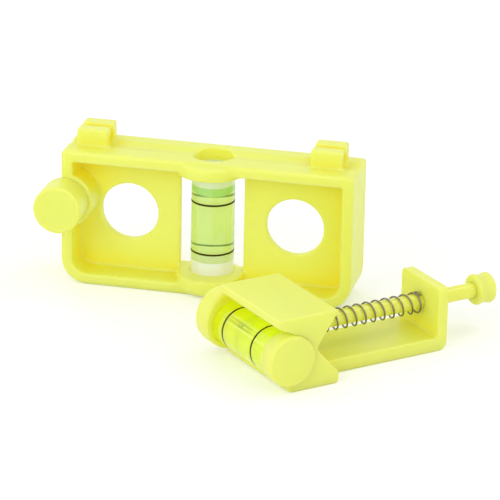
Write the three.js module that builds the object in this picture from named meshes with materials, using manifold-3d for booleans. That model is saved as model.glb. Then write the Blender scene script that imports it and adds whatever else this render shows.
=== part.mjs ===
// A bow string level and an arrow level, standing together as a set.
// Lengths are in millimetres and +Z is up. The origin lies under the middle of the string level,
// on the surface that both levels stand on. The string level runs along X with its front to -Y,
// and the arrow level stands in front of it, turned about Z.
import Module from 'manifold-3d';
import * as THREE from 'three';
import { mergeVertices } from 'three/addons/utils/BufferGeometryUtils.js';

// String level, frame: rims round a thin web
const frameLength = 68;
const frameHeight = 32;
const frameDepth = 15;
const rimWidth = 2.6;
const webThickness = 2;
const footCornerRadius = 6;
const headCornerRadius = 0.8;
const edgeRound = 0.6;

// String level, openings in the web
const windowWidth = 15;
const webHoleRadius = 6.7;
const webHoleSpacing = 38.8;
const webHoleHeight = 16.5;

// String level, round collars that hold the upright vial
const collarRadius = 7.7;
const collarForward = 2.2;
const collarRound = 2;
const footCollarLift = 0.3;
const footCollarTop = 4.4;
const headCollarDepth = 3.6;
const headCollarStep = 0.5;
const headCollarRound = 0.7;
const vialSeatDepth = 2;

// String level, groove and clips for the bow string
const grooveWidth = 5;
const grooveDepth = 0.7;
const stringLineOffset = 0.9;
const stringRadius = 1.7;
const clipSpacing = 54.5;
const clipShift = -0.6;
const clipLength = 7.2;
const clipMouth = 1.6;
const frontProngDepth = 3.3;
const rearProngDepth = 3.6;
const clipHeight = 4.2;
const clipRound = 0.5;

// String level, round knob on the end rim, and the boss behind it
const bossRadius = 6.4;
const endKnobHeight = 20;
const endKnobInset = 1;
const endKnobRadius = 5.55;
const endKnobLength = 7.2;
const endKnobRound = 0.8;
const studRadius = 1.6;
const studLength = 5;
const studInset = 2.2;

// Vials, both alike
const vialRadius = 5;
const vialLength = 26.6;
const vialWall = 1.1;
const vialEndWall = 2;
const vialEdge = 0.5;
const plugLength = 5;
const markOffset = 6.75;
const markSpacing = 12;
const markWidth = 0.45;
const markDepth = 0.35;
const airDepth = 2;
const bubbleLength = 8.5;
const bubbleWidth = 4.4;
const bubbleDepth = 3.4;
const bubbleDrift = 1.2;

// Arrow level, block with its notch
const turnDegrees = 43.8;
const turnedLevelX = 39.75;
const turnedLevelY = -48.5;
const blockHeight = 17;
const blockFootLength = 12.7;
const blockFootRound = 1.5;
const slabLength = 15;
const slabEdge = 1.7;
const slabUndercut = 5.4;
const notchDepth = 5;
const notchHalfHeight = 7.2;
const pushHeight = 9.3;

// Arrow level, vial holder
const arrowVialBack = 11.8;
const arrowVialHeight = 7.5;
const endDiscRadius = 6.8;
const endDiscRaise = 0.75;
const endDiscDepth = 5;
const endDiscFloor = 0.9;
const endDiscRound = 0.5;
const endDiscBite = 0.65;
const arrowCapRadius = 5.7;
const arrowCapProud = 1;
const arrowCapDepth = 4.1;
const arrowCapFloor = 2.75;

// Arrow level, rail and end wall
const railReach = 31.5;
const railWidth = 15.4;
const railThickness = 3.2;
const railRoot = 2;
const wallThickness = 2.5;
const wallHeight = 14.8;
const wallCornerRadius = 2;
const wallShoulderRound = 1.5;

// Arrow level, plunger, spring and knob
const rodRadius = 1.75;
const rodEnd = 46;
const rodEdge = 0.3;
const headRadius = 4;
const headTipRadius = 1.2;
const headBack = 0.4;
const springRadius = 2.3;
const springWireRadius = 0.22;
const springCurls = 11;
const springHang = 0.1;
const knobRadius = 3.5;
const knobStart = 43;
const knobLength = 4.5;
const knobRound = 0.7;

// Clearances
const vialFit = 0.1;
const fillFit = 0.05;
const markFit = 0.1;
const rodFit = 0.1;
const knobFit = 0.1;
const seatGap = 0.3;
const faceGap = 0.05;
const cutOverrun = 1;

// Fineness of the round faces, in straight steps
const collarSides = 56;
const vialSides = 32;
const boreSides = 40;
const rodSides = 24;
const cornerSteps = 4;
const roundSteps = 2;
const curlSteps = 8;
const wireSides = 5;
const bubbleSides = 16;

const halfDepth = frameDepth / 2;
const halfLength = frameLength / 2;
const bothSides = [-1, 1];
const vialBore = vialRadius - vialWall;

const wasm = await Module();
wasm.setup();

/** A closed geometry as a solid, with shared vertices merged and flat slivers left out. */
function solidFrom(geometry) {
  const bare = geometry.clone();
  bare.deleteAttribute('normal');
  bare.deleteAttribute('uv');
  const merged = mergeVertices(bare);
  const corners = merged.index.array;
  const kept = [];
  for (let i = 0; i < corners.length; i += 3) {
    const [a, b, c] = [corners[i], corners[i + 1], corners[i + 2]];
    if (a !== b && b !== c && c !== a) {
      kept.push(a, b, c);
    }
  }
  const vertProperties = merged.attributes.position.array;
  const triVerts = Uint32Array.from(kept);
  return new wasm.Manifold(new wasm.Mesh({ numProp: 3, vertProperties, triVerts }));
}

/** The geometry of a solid. */
function geometryFrom(solid) {
  const mesh = solid.getMesh();
  const geometry = new THREE.BufferGeometry();
  geometry.setAttribute('position', new THREE.BufferAttribute(mesh.vertProperties, 3));
  geometry.setIndex(new THREE.BufferAttribute(mesh.triVerts, 1));
  geometry.computeVertexNormals();
  return geometry;
}

/** A box between two corners. */
function block(from, to) {
  const size = to.map((value, axis) => value - from[axis]);
  const middle = to.map((value, axis) => (value + from[axis]) / 2);
  return solidFrom(new THREE.BoxGeometry(...size).translate(...middle));
}

/** A body turned round Z, from a profile of [radius, height] pairs that runs up the outside. */
function turnedBody(profile, sides) {
  const points = profile.map(([radius, height]) => new THREE.Vector2(radius, height));
  return new THREE.LatheGeometry(points, sides).rotateX(Math.PI / 2);
}

/** A round bar along Z between two heights. */
function bar(radius, start, end, sides) {
  const length = end - start;
  return new THREE.CylinderGeometry(radius, radius, length, sides)
    .rotateX(Math.PI / 2)
    .translate(0, 0, start + length / 2);
}

/** A geometry made along Z, laid along X. */
function laidAlongX(geometry) {
  return geometry.rotateY(Math.PI / 2);
}

/** A geometry made along Z, laid along Y. */
function laidAlongY(geometry) {
  return geometry.rotateX(-Math.PI / 2);
}

/** Points of a quarter round of a profile, from one angle to another, both in quarter turns. */
function quarterRound(centreRadius, centreHeight, round, startQuarter, endQuarter) {
  const points = [];
  for (let i = 0; i <= cornerSteps; i += 1) {
    const quarter = startQuarter + ((endQuarter - startQuarter) * i) / cornerSteps;
    const angle = (quarter * Math.PI) / 2;
    points.push([
      centreRadius + round * Math.cos(angle),
      centreHeight + round * Math.sin(angle),
    ]);
  }
  return points;
}

/** A shape in X and Z, drawn out along Y between two values. */
function drawnAlongY(shape, start, end, round = 0) {
  const depth = end - start;
  return new THREE.ExtrudeGeometry(shape, {
    depth: depth - 2 * round,
    curveSegments: cornerSteps,
    bevelEnabled: round > 0,
    bevelThickness: round,
    bevelSize: round,
    bevelOffset: -round,
    bevelSegments: roundSteps,
  })
    .rotateX(Math.PI / 2)
    .translate(0, end - round, 0);
}

/** A shape in Y and Z, drawn out along X between two values. */
function drawnAlongX(shape, start, end, round = 0) {
  const depth = end - start;
  return new THREE.ExtrudeGeometry(shape, {
    depth: depth - 2 * round,
    curveSegments: cornerSteps,
    bevelEnabled: round > 0,
    bevelThickness: round,
    bevelSize: round,
    bevelOffset: -round,
    bevelSegments: roundSteps,
  })
    .rotateX(Math.PI / 2)
    .rotateZ(Math.PI / 2)
    .translate(start + round, 0, 0);
}

/** A named mesh of one material. */
function piece(name, shape, material) {
  const solid = shape.isBufferGeometry ? solidFrom(shape) : shape;
  const mesh = new THREE.Mesh(geometryFrom(solid), material.clone());
  mesh.name = name;
  return mesh;
}

const yellowPlastic = new THREE.MeshStandardMaterial({
  color: 0xd9e021,
  roughness: 0.4,
  metalness: 0,
});
const clearAcrylic = new THREE.MeshStandardMaterial({
  color: 0xeaf2e2,
  roughness: 0.08,
  metalness: 0,
  transparent: true,
  opacity: 0.35,
});
const greenLiquid = new THREE.MeshStandardMaterial({
  color: 0x9be02a,
  roughness: 0.05,
  metalness: 0,
  transparent: true,
  opacity: 0.7,
});
const blackInk = new THREE.MeshStandardMaterial({
  color: 0x0c0c0a,
  roughness: 0.5,
  metalness: 0,
});
const springSteel = new THREE.MeshStandardMaterial({
  color: 0x9a9da0,
  roughness: 0.35,
  metalness: 1,
});

/** The frame's outline in X and Z, drawn in from its edge by an inset. */
function frameOutline(inset) {
  const side = halfLength - inset;
  const head = frameHeight - inset;
  const footRound = footCornerRadius - inset;
  const headRound = Math.max(headCornerRadius - inset, 0);
  const outline = new THREE.Shape();
  outline.moveTo(-side + footRound, inset);
  outline.lineTo(side - footRound, inset);
  outline.absarc(side - footRound, inset + footRound, footRound, -Math.PI / 2, 0);
  outline.lineTo(side, head - headRound);
  if (headRound > 0) {
    outline.absarc(side - headRound, head - headRound, headRound, 0, Math.PI / 2);
    outline.absarc(-side + headRound, head - headRound, headRound, Math.PI / 2, Math.PI);
  } else {
    outline.lineTo(-side, head);
  }
  outline.lineTo(-side, inset + footRound);
  outline.absarc(-side + footRound, inset + footRound, footRound, Math.PI, 1.5 * Math.PI);
  return outline;
}

/** The rims and the web, with the recess on each side, the window and the two round holes. */
function rimsAndWeb() {
  let solid = solidFrom(drawnAlongY(frameOutline(0), -halfDepth, halfDepth, edgeRound));
  const webFace = webThickness / 2;
  const beyond = halfDepth + cutOverrun;
  const recess = frameOutline(rimWidth);
  solid = solid.subtract(solidFrom(drawnAlongY(recess, -beyond, -webFace)));
  solid = solid.subtract(solidFrom(drawnAlongY(recess, webFace, beyond)));
  const windowSide = windowWidth / 2;
  solid = solid.subtract(block(
    [-windowSide, -beyond, rimWidth],
    [windowSide, beyond, frameHeight - rimWidth],
  ));
  for (const side of bothSides) {
    const hole = laidAlongY(bar(webHoleRadius, -beyond, beyond, collarSides));
    hole.translate((side * webHoleSpacing) / 2, 0, webHoleHeight);
    solid = solid.subtract(solidFrom(hole));
  }
  return solid;
}

/** The lower collar, rounded below where it stands proud of the rims. */
function footCollar() {
  return turnedBody([
    [0, footCollarLift],
    ...quarterRound(collarRadius - collarRound, footCollarLift + collarRound, collarRound, -1, 0),
    [collarRadius, footCollarTop],
    [0, footCollarTop],
  ], collarSides).translate(0, -collarForward, 0);
}

/** The upper collar, a small step below the rim's top and rounded above. */
function headCollar() {
  const top = frameHeight - headCollarStep;
  return turnedBody([
    [0, frameHeight - headCollarDepth],
    [collarRadius, frameHeight - headCollarDepth],
    ...quarterRound(collarRadius - headCollarRound, top - headCollarRound, headCollarRound, 0, 1),
    [0, top],
  ], collarSides).translate(0, -collarForward, 0);
}

/** The groove along the top that the bow string lies in, a shallow round channel. */
function stringGroove() {
  const halfWidth = grooveWidth / 2;
  const radius = (halfWidth ** 2 + grooveDepth ** 2) / (2 * grooveDepth);
  const reach = halfLength + cutOverrun;
  return laidAlongX(bar(radius, -reach, reach, boreSides))
    .translate(0, stringLineOffset, frameHeight - grooveDepth + radius);
}

/** One clip: a front and a rear prong with a round seat for the string under a narrow mouth. */
function stringClip(middleX) {
  const mouthFront = stringLineOffset - clipMouth / 2;
  const mouthRear = stringLineOffset + clipMouth / 2;
  const root = frameHeight - rimWidth / 2;
  const lip = frameHeight + clipHeight;
  const seatHeight = frameHeight - grooveDepth + stringRadius;
  const outline = new THREE.Shape();
  outline.moveTo(mouthFront - frontProngDepth, root);
  outline.lineTo(mouthRear + rearProngDepth, root);
  outline.lineTo(mouthRear + rearProngDepth, lip);
  outline.lineTo(mouthRear, lip);
  outline.lineTo(mouthRear, seatHeight);
  outline.lineTo(mouthFront, seatHeight);
  outline.lineTo(mouthFront, lip);
  outline.lineTo(mouthFront - frontProngDepth, lip);
  const start = middleX - clipLength / 2;
  const end = middleX + clipLength / 2;
  const prongs = solidFrom(drawnAlongX(outline, start, end, clipRound));
  const seat = laidAlongX(bar(stringRadius, start - cutOverrun, end + cutOverrun, rodSides))
    .translate(0, stringLineOffset, seatHeight);
  return { prongs, seat: solidFrom(seat) };
}

/** The half round boss behind the knob, and the socket in it for the knob's stud. */
function knobBoss() {
  const round = laidAlongY(bar(bossRadius, -halfDepth, halfDepth, boreSides));
  round.translate(-halfLength + endKnobInset, 0, endKnobHeight);
  const outside = block(
    [-halfLength - bossRadius - cutOverrun, -halfDepth - cutOverrun, 0],
    [-halfLength + edgeRound, halfDepth + cutOverrun, frameHeight],
  );
  const depth = studLength + seatGap;
  const socket = laidAlongY(
    bar(studRadius + knobFit, -halfDepth - cutOverrun, -halfDepth + depth, rodSides),
  );
  socket.translate(-halfLength + endKnobInset + studInset, 0, endKnobHeight);
  return { boss: solidFrom(round).subtract(outside), socket: solidFrom(socket) };
}

/** The whole frame of the string level, one moulding. */
function stringLevelFrame() {
  const { boss, socket } = knobBoss();
  let solid = rimsAndWeb()
    .add(solidFrom(footCollar()))
    .add(solidFrom(headCollar()))
    .add(boss);
  const floor = footCollarTop - vialSeatDepth;
  const seat = bar(vialRadius + vialFit, floor, frameHeight + cutOverrun, boreSides);
  solid = solid.subtract(solidFrom(stringGroove()));
  for (const side of bothSides) {
    const clip = stringClip(clipShift + (side * clipSpacing) / 2);
    solid = solid.add(clip.prongs).subtract(clip.seat);
  }
  return solid.subtract(solidFrom(seat)).subtract(socket);
}

/** The round knob, its back at height zero, with a stud set towards the frame's inside. */
function endKnob() {
  const knob = turnedBody([
    [0, faceGap],
    [endKnobRadius, faceGap],
    ...quarterRound(
      endKnobRadius - endKnobRound, endKnobLength - endKnobRound, endKnobRound, 0, 1,
    ),
    [0, endKnobLength],
  ], boreSides);
  const stud = bar(studRadius, -studLength, endKnobLength / 2, rodSides);
  return solidFrom(knob).add(solidFrom(stud.translate(studInset, 0, 0)));
}

/** Heights along a vial where its two marks lie. */
const markHeights = [markOffset, markOffset + markSpacing];

/** A vial's tube, open at its plug end and closed above, with a shallow cut for each mark. */
function vialTube() {
  const cutRadius = vialRadius - markDepth;
  const halfCut = markWidth / 2 + markFit;
  const profile = [[vialBore, 0], [vialRadius, 0]];
  for (const height of markHeights) {
    profile.push(
      [vialRadius, height - halfCut],
      [cutRadius, height - halfCut],
      [cutRadius, height + halfCut],
      [vialRadius, height + halfCut],
    );
  }
  profile.push(
    [vialRadius, vialLength - vialEdge],
    [vialRadius - vialEdge, vialLength],
    [0, vialLength],
    [0, vialLength - vialEndWall],
    [vialBore, vialLength - vialEndWall],
    [vialBore, 0],
  );
  return turnedBody(profile, vialSides);
}

/** One mark, a thin black band in its cut. */
function vialMark(height) {
  const inside = vialRadius - markDepth + markFit;
  const low = height - markWidth / 2;
  const high = height + markWidth / 2;
  return turnedBody(
    [[inside, low], [vialRadius, low], [vialRadius, high], [inside, high], [inside, low]],
    vialSides,
  );
}

/** The liquid of an upright vial, with the air above it. */
function uprightLiquid() {
  const top = vialLength - vialEndWall - airDepth;
  return solidFrom(bar(vialBore - fillFit, plugLength + fillFit, top, vialSides));
}

/** The liquid of a lying vial, with a long bubble against the top of the bore, towards +Y. */
function lyingLiquid(drift) {
  const top = vialLength - vialEndWall - fillFit;
  const column = solidFrom(bar(vialBore - fillFit, plugLength + fillFit, top, vialSides));
  const bubble = new THREE.SphereGeometry(1, bubbleSides, bubbleSides / 2)
    .scale(bubbleWidth / 2, bubbleDepth / 2, bubbleLength / 2)
    .translate(0, vialBore - bubbleDepth / 2 + faceGap, markOffset + markSpacing / 2 + drift);
  return column.subtract(solidFrom(bubble));
}

/** A complete vial along Z, its plug end at the group's origin. */
function vial(name, liquid) {
  const group = new THREE.Group();
  const plug = bar(vialBore - fillFit, 0, plugLength, vialSides);
  group.add(
    piece(`${name}_tube`, vialTube(), clearAcrylic),
    piece(`${name}_plug`, plug, clearAcrylic),
    piece(`${name}_liquid`, liquid, greenLiquid),
  );
  markHeights.forEach((height, index) => {
    group.add(piece(`${name}_mark_${index + 1}`, vialMark(height), blackInk));
  });
  return group;
}

/** The string level with its vial and its knob. */
function stringLevel() {
  const level = new THREE.Group();
  level.add(piece('string_level_frame', stringLevelFrame(), yellowPlastic));

  const upright = vial('upright_vial', uprightLiquid());
  upright.position.z = footCollarTop - vialSeatDepth + faceGap;
  level.add(upright);

  const knob = piece('end_knob', endKnob(), yellowPlastic);
  knob.rotation.x = Math.PI / 2;
  knob.position.set(-halfLength + endKnobInset, -halfDepth, endKnobHeight);
  level.add(knob);
  return level;
}

/** The block's outline: foot, notch towards +X, and the slab that reaches over the vial. */
function blockOutline() {
  const outline = new THREE.Shape();
  outline.moveTo(-blockFootLength + blockFootRound, 0);
  outline.lineTo(0, 0);
  outline.lineTo(0, pushHeight - notchHalfHeight);
  outline.lineTo(-notchDepth, pushHeight);
  outline.lineTo(0, pushHeight + notchHalfHeight);
  outline.lineTo(0, blockHeight);
  outline.lineTo(-slabLength, blockHeight);
  outline.lineTo(-slabLength, blockHeight - slabEdge);
  outline.lineTo(-slabLength + slabUndercut, arrowVialHeight + vialRadius + vialFit);
  outline.lineTo(-arrowVialBack, arrowVialHeight);
  outline.lineTo(-blockFootLength, arrowVialHeight - vialRadius);
  outline.lineTo(-blockFootLength, blockFootRound);
  outline.absarc(
    -blockFootLength + blockFootRound, blockFootRound, blockFootRound, Math.PI, 1.5 * Math.PI,
  );
  return outline;
}

/** The rail and the end wall, an L with a rounded outer corner. */
function railOutline() {
  const outline = new THREE.Shape();
  outline.moveTo(-railRoot, 0);
  outline.lineTo(railReach - wallCornerRadius, 0);
  outline.absarc(
    railReach - wallCornerRadius, wallCornerRadius, wallCornerRadius, -Math.PI / 2, 0,
  );
  outline.lineTo(railReach, wallHeight);
  outline.lineTo(railReach - wallThickness, wallHeight);
  outline.lineTo(railReach - wallThickness, railThickness);
  outline.lineTo(-railRoot, railThickness);
  return outline;
}

/** The end wall's outline as seen along X, with rounded shoulders. */
function wallOutline() {
  const start = (blockWidth - railWidth) / 2;
  const end = start + railWidth;
  const round = wallShoulderRound;
  const outline = new THREE.Shape();
  outline.moveTo(start, -cutOverrun);
  outline.lineTo(end, -cutOverrun);
  outline.absarc(end - round, wallHeight - round, round, 0, Math.PI / 2);
  outline.absarc(start + round, wallHeight - round, round, Math.PI / 2, Math.PI);
  return outline;
}

/** A round bar along Y on the arrow vial's own axis. */
function onArrowVial(radius, start, end, sides) {
  return solidFrom(
    laidAlongY(bar(radius, start, end, sides)).translate(-arrowVialBack, 0, arrowVialHeight),
  );
}

const arrowVialStart = arrowCapFloor - arrowCapProud + faceGap;
const arrowSeatEnd = arrowVialStart + vialLength + faceGap;
const endDiscStart = arrowSeatEnd + endDiscFloor - endDiscDepth;
const blockWidth = endDiscStart + endDiscBite;

/** The round end of the vial holder, with a soft edge. */
function endDisc() {
  const flat = endDiscRadius - endDiscRound;
  const disc = turnedBody([
    [0, 0],
    ...quarterRound(flat, endDiscRound, endDiscRound, -1, 0),
    ...quarterRound(flat, endDiscDepth - endDiscRound, endDiscRound, 0, 1),
    [0, endDiscDepth],
  ], collarSides);
  return solidFrom(
    laidAlongY(disc).translate(-arrowVialBack, endDiscStart, arrowVialHeight + endDiscRaise),
  );
}

/** The whole frame of the arrow level, one moulding. */
function arrowLevelFrame() {
  const railSide = (blockWidth - railWidth) / 2;
  const capEnd = arrowCapDepth - arrowCapProud + seatGap;
  const reach = railReach + cutOverrun;
  const rodHole = laidAlongX(bar(rodRadius + rodFit, 0, reach, rodSides));
  rodHole.translate(0, blockWidth / 2, pushHeight);
  const rail = solidFrom(drawnAlongY(railOutline(), railSide, railSide + railWidth))
    .intersect(solidFrom(drawnAlongX(wallOutline(), -railRoot - cutOverrun, reach)));
  return solidFrom(drawnAlongY(blockOutline(), 0, blockWidth))
    .add(rail)
    .add(endDisc())
    .subtract(onArrowVial(vialRadius + vialFit, -cutOverrun, arrowSeatEnd, boreSides))
    .subtract(onArrowVial(arrowCapRadius + seatGap, -cutOverrun, capEnd, boreSides))
    .subtract(solidFrom(rodHole));
}

/** The cap at the arrow vial's near end, its mouth above. */
function arrowVialCap() {
  const inside = vialRadius + vialFit;
  return turnedBody([
    [0, 0],
    ...quarterRound(arrowCapRadius - edgeRound, edgeRound, edgeRound, -1, 0),
    [arrowCapRadius, arrowCapDepth],
    [inside, arrowCapDepth],
    [inside, arrowCapFloor],
    [0, arrowCapFloor],
  ], boreSides);
}

/** How far along the push axis the head's cone may reach at a radius, clear of the notch. */
function notchClear(radius) {
  return -notchDepth + (radius * notchDepth) / notchHalfHeight + seatGap;
}

/** The plunger: a coned head that pushes into the notch, on a round rod. */
function plunger() {
  return turnedBody([
    [0, notchClear(headTipRadius)],
    [headTipRadius, notchClear(headTipRadius)],
    [headRadius, notchClear(headRadius)],
    [headRadius, headBack],
    [rodRadius, headBack],
    [rodRadius, rodEnd - rodEdge],
    [rodRadius - rodEdge, rodEnd],
    [0, rodEnd],
  ], rodSides);
}

/** The knob that the plunger is pulled back by, a cup over the rod's end. */
function pullKnob() {
  const inside = rodRadius + knobFit;
  const end = knobStart + knobLength;
  const floor = rodEnd + knobFit;
  return turnedBody([
    [inside, knobStart],
    ...quarterRound(knobRadius - knobRound, knobStart + knobRound, knobRound, -1, 0),
    ...quarterRound(knobRadius - knobRound, end - knobRound, knobRound, 0, 1),
    [0, end],
    [0, floor],
    [inside, floor],
    [inside, knobStart],
  ], rodSides);
}

/** Points and radial directions of the spring's wire, from the head to the end wall. */
function springPath() {
  const wire = 2 * springWireRadius;
  const start = headBack + seatGap;
  const end = railReach - wallThickness - seatGap;
  const path = [];
  const addPoint = (turn, along) => {
    const angle = 2 * Math.PI * turn;
    const out = new THREE.Vector3(Math.cos(angle), Math.sin(angle), 0);
    const point = out.clone().multiplyScalar(springRadius).setZ(along);
    path.push({ point, out });
  };
  addPoint(0, start);
  for (let i = 0; i <= springCurls * curlSteps; i += 1) {
    const turn = i / curlSteps;
    addPoint(turn, start + wire + ((end - start - 2 * wire) * turn) / springCurls);
  }
  addPoint(springCurls, end);
  return path;
}

/** The least gap between curls of the wire, measured on the points of its path. */
function leastGap(path) {
  let least = Infinity;
  for (let i = 0; i < path.length; i += 1) {
    for (let j = i + curlSteps - 1; j < path.length; j += 1) {
      least = Math.min(least, path[i].point.distanceTo(path[j].point));
    }
  }
  return least - 2 * springWireRadius;
}

/** The spring, one unbroken wire wound in curls, its ends straight and square to their seats. */
function plungerSpring() {
  const path = springPath();
  console.log(`plunger_spring: least gap to itself ${leastGap(path).toFixed(2)} mm`);
  const along = new THREE.Vector3(0, 0, 1);
  const positions = [];
  path.forEach(({ point, out }, index) => {
    const before = path[Math.max(index - 1, 0)].point;
    const after = path[Math.min(index + 1, path.length - 1)].point;
    const isEnd = index === 0 || index === path.length - 1;
    const heading = isEnd ? along : after.clone().sub(before).normalize();
    const across = heading.clone().cross(out).normalize();
    for (let k = 0; k < wireSides; k += 1) {
      const angle = (2 * Math.PI * k) / wireSides;
      const corner = point.clone()
        .addScaledVector(out, springWireRadius * Math.cos(angle))
        .addScaledVector(across, springWireRadius * Math.sin(angle));
      positions.push(...corner);
    }
  });
  const indices = [];
  for (let i = 0; i + 1 < path.length; i += 1) {
    for (let k = 0; k < wireSides; k += 1) {
      const next = (k + 1) % wireSides;
      const [a, b] = [i * wireSides + k, i * wireSides + next];
      const [c, d] = [a + wireSides, b + wireSides];
      indices.push(a, b, d, a, d, c);
    }
  }
  const last = (path.length - 1) * wireSides;
  for (let k = 1; k + 1 < wireSides; k += 1) {
    indices.push(0, k + 1, k, last, last + k, last + k + 1);
  }
  const geometry = new THREE.BufferGeometry();
  geometry.setAttribute('position', new THREE.Float32BufferAttribute(positions, 3));
  geometry.setIndex(indices);
  return geometry;
}

/** The plunger and its knob, along +X at the push height, and the spring that hangs on it. */
function pushGroup() {
  const group = new THREE.Group();
  const spring = plungerSpring().translate(springHang, 0, 0);
  group.add(
    piece('plunger', plunger(), yellowPlastic),
    piece('plunger_spring', spring, springSteel),
    piece('plunger_knob', pullKnob(), yellowPlastic),
  );
  group.rotation.y = Math.PI / 2;
  group.position.set(0, blockWidth / 2, pushHeight);
  return group;
}

/** The arrow level, with its near lower corner by the notch at the group's origin. */
function arrowLevel() {
  const level = new THREE.Group();
  level.add(piece('arrow_level_frame', arrowLevelFrame(), yellowPlastic), pushGroup());

  const cap = piece('arrow_vial_cap', arrowVialCap(), yellowPlastic);
  cap.rotation.x = -Math.PI / 2;
  cap.position.set(-arrowVialBack, -arrowCapProud, arrowVialHeight);
  level.add(cap);

  const lying = vial('arrow_vial', lyingLiquid(bubbleDrift));
  lying.rotation.set(-Math.PI / 2, 0, Math.PI);
  lying.position.set(-arrowVialBack, arrowVialStart, arrowVialHeight);
  level.add(lying);

  level.rotation.z = THREE.MathUtils.degToRad(turnDegrees);
  level.position.set(turnedLevelX, turnedLevelY, 0);
  return level;
}

const levelSet = new THREE.Group();
levelSet.add(stringLevel(), arrowLevel());

export default levelSet;
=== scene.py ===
"""Dresses the bow string level and the arrow level that stands before it.

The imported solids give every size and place. Each moulding is built again here from the same
sizes with rounded edges and filleted corners, the vials get clear walls, tinted liquid and thin
black rings, and the plunger's spring gets a smooth wound wire.

Lengths in the classes are millimetres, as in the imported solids. A finished piece is in metres.
"""

from __future__ import annotations

import logging
import math
from dataclasses import dataclass, field
from enum import Enum
from typing import Iterator, Sequence

import bmesh
import bpy
from mathutils import Matrix, Vector


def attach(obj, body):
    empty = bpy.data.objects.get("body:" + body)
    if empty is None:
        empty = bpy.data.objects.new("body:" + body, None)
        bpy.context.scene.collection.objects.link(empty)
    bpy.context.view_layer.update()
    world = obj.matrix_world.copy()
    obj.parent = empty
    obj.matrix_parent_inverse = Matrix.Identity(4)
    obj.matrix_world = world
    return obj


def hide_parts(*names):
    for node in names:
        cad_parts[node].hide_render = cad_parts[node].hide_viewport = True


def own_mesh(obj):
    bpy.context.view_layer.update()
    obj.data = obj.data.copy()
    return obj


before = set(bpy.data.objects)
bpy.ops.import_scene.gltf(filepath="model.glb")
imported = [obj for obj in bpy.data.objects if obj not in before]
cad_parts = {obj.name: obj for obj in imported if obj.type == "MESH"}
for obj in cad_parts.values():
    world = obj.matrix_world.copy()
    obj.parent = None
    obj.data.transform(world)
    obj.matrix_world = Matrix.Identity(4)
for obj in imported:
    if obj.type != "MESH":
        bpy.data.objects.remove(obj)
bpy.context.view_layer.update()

log = logging.getLogger("levels")

MM = 0.001
NEARLY_ZERO = 1e-6
WELD = 1e-5
FINE_SIDES = 128
OVERRUN = 1  # how far what is cut away reaches past the solid
PLAY = 0.1  # how much wider a bore's radius is than what sits in it
END_PLAY = 0.05
REFRACTION = 1.49

Point = tuple[float, float]
Place = tuple[float, float, float]
Colour = tuple[float, float, float]
Thing = bpy.types.Object
Material = bpy.types.Material
Node = bpy.types.Node
Socket = bpy.types.NodeSocket
Inputs = dict[str | int, object]


class Axis(Enum):
    """The direction that a solid is drawn out along or turned about."""

    X = "X"
    Y = "Y"
    Z = "Z"

    def place(self, across: float, up: float, along: float) -> Place:
        """Gives the point at these distances across, up and along the axis."""
        if self is Axis.X:
            return (along, across, up)
        if self is Axis.Y:
            return (across, along, up)
        return (across, up, along)


class Body(Enum):
    """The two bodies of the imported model."""

    LEVELS = "levels"
    PLUNGER = "plunger_assembly"


class Slot(Enum):
    """The record's material slots."""

    YELLOW = "yellow_plastic"
    CLEAR = "clear_acrylic"
    LIQUID = "green_liquid"
    INK = "black_ink"
    STEEL = "spring_steel"


# Solids


def mesh_object(name: str, points: Sequence[Place], faces: Sequence[Sequence[int]]) -> Thing:
    """Makes an object from points and faces, its faces turned outwards.

    Args:
        name: The object's name.
        points: The corners.
        faces: The corners of each face.

    Returns:
        The new object, linked to the scene.
    """
    mesh = bpy.data.meshes.new(name)
    mesh.from_pydata([tuple(point) for point in points], [], [tuple(face) for face in faces])
    shell = bmesh.new()
    shell.from_mesh(mesh)
    bmesh.ops.remove_doubles(shell, verts=shell.verts, dist=WELD)
    bmesh.ops.recalc_face_normals(shell, faces=shell.faces)
    shell.to_mesh(mesh)
    shell.free()
    thing = bpy.data.objects.new(name, mesh)
    bpy.context.scene.collection.objects.link(thing)
    return thing


def prism(outline: Sequence[Point], axis: Axis, start: float, end: float, edge: float = 0) -> Thing:
    """Draws a closed outline out along an axis.

    Args:
        outline: The outline's corners, as pairs across and up.
        axis: The direction it is drawn along.
        start: Where it starts on the axis.
        end: Where it ends.
        edge: The radius of the round along both ends' edges, or 0 for none.

    Returns:
        The solid.
    """
    count = len(outline)
    points = [axis.place(a, b, start) for a, b in outline]
    points += [axis.place(a, b, end) for a, b in outline]
    faces = [tuple(range(count)), tuple(range(2 * count - 1, count - 1, -1))]
    faces += [(i, (i + 1) % count, (i + 1) % count + count, i + count) for i in range(count)]
    thing = mesh_object("prism", points, faces)
    if edge > 0:
        shell = bmesh.new()
        shell.from_mesh(thing.data)
        rims = [line for line in shell.edges if any(len(face.verts) == count for face in line.link_faces)]
        bmesh.ops.bevel(shell, geom=rims, offset=edge, segments=4, profile=0.5, affect="EDGES")
        shell.to_mesh(thing.data)
        shell.free()
    return thing


def held(profile: Sequence[Point], closed: bool, reach: float = 0.05, shortest: float = 0.4) -> list[Point]:
    """Adds a point close to both ends of each long stretch of a profile, which keeps it straight.

    Args:
        profile: Pairs of radius and distance.
        closed: Whether the last point joins the first.
        reach: How far from the ends the new points lie.
        shortest: The length from which a stretch counts as long.

    Returns:
        The fuller profile.
    """
    points: list[Point] = []
    following = list(profile[1:]) + ([profile[0]] if closed else [])
    for start, end in zip(profile, following):
        points.append(start)
        length = math.dist(start, end)
        if length > shortest and max(start[0], end[0]) > NEARLY_ZERO:
            for share in (reach / length, 1 - reach / length):
                spot = (start[0] + (end[0] - start[0]) * share, start[1] + (end[1] - start[1]) * share)
                if spot[0] > NEARLY_ZERO:
                    points.append(spot)
    if not closed:
        points.append(profile[-1])
    return points


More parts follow.
